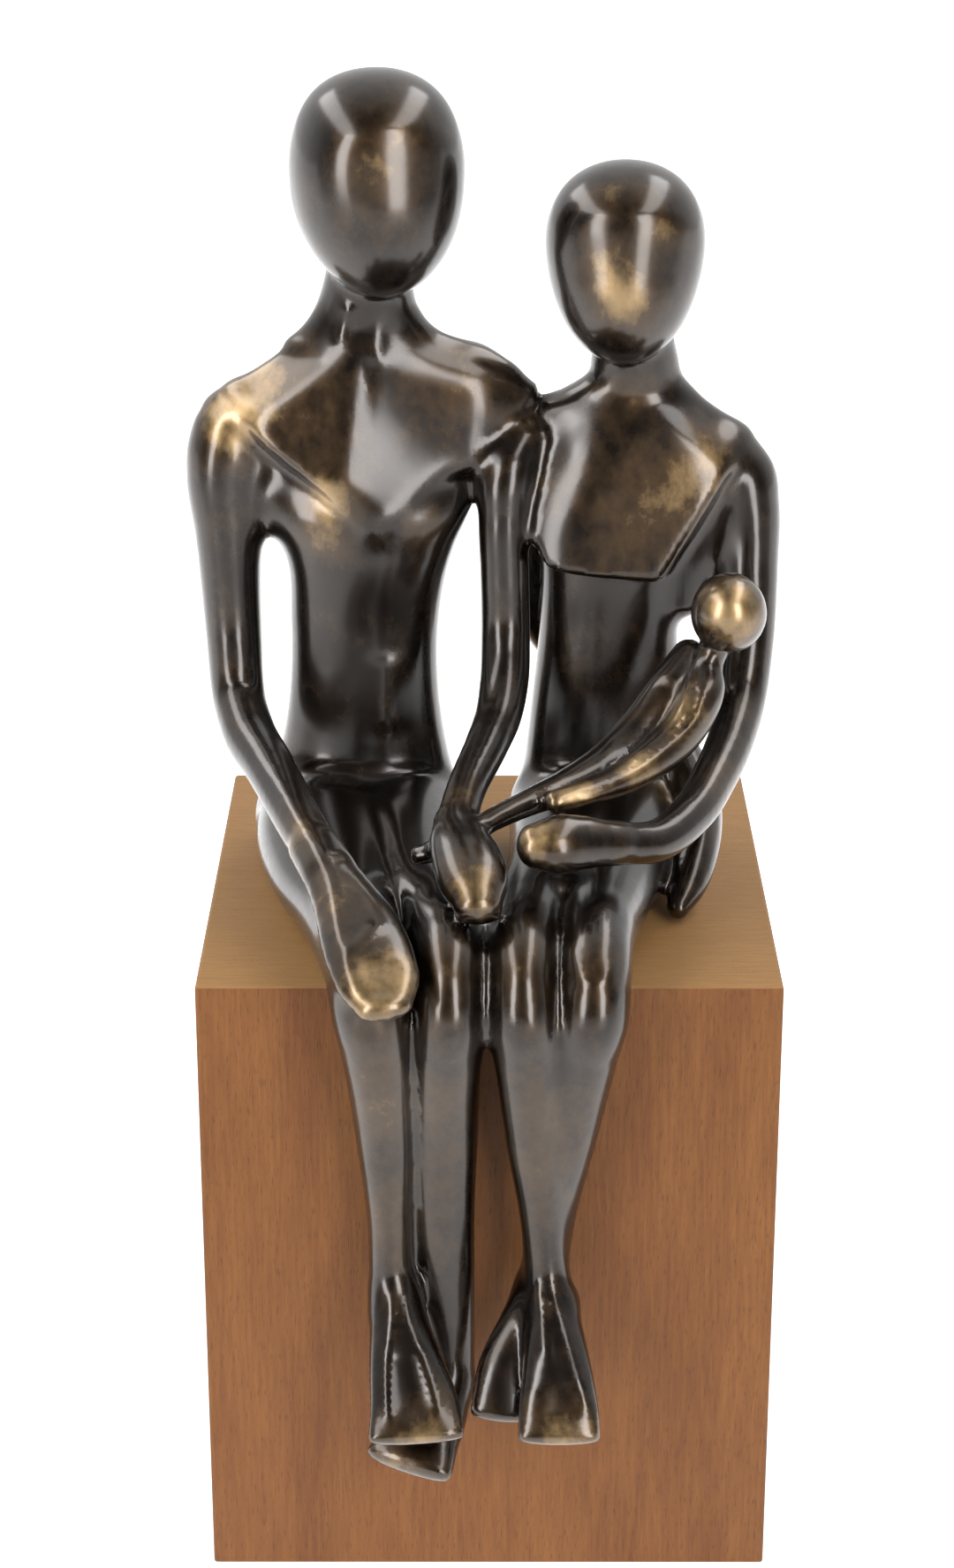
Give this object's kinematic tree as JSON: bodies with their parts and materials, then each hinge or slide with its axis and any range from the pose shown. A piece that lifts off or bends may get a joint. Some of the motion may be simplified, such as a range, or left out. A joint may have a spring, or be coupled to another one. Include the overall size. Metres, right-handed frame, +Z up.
{
  "type": "seated family sculpture on a wooden block",
  "caption": "Faceless abstract man, woman and baby in dark bronze, seated side by side on a square wooden block with their crossed legs hanging over its front face.",
  "frame": {"origin": "centre of the block's flat underside, on the table", "axes": "+Z up, +X to the viewer's right when facing the figures, +Y away from the viewer: the figures look towards -Y"},
  "size_m": [0.1377, 0.1687, 0.3391],
  "materials": {
    "family_group": "cast bronze with a dark brown, almost black patina, glossy, rubbed to golden brown on the raised parts, with fine casting pits",
    "wood_block": "fine-grained warm orange-brown wood, planed and waxed, low sheen, slightly lighter on the top face"
  },
  "bodies": {
    "root": {"family_group": "family_group", "wood_block": "wood_block"}
  },
  "joints": []
}
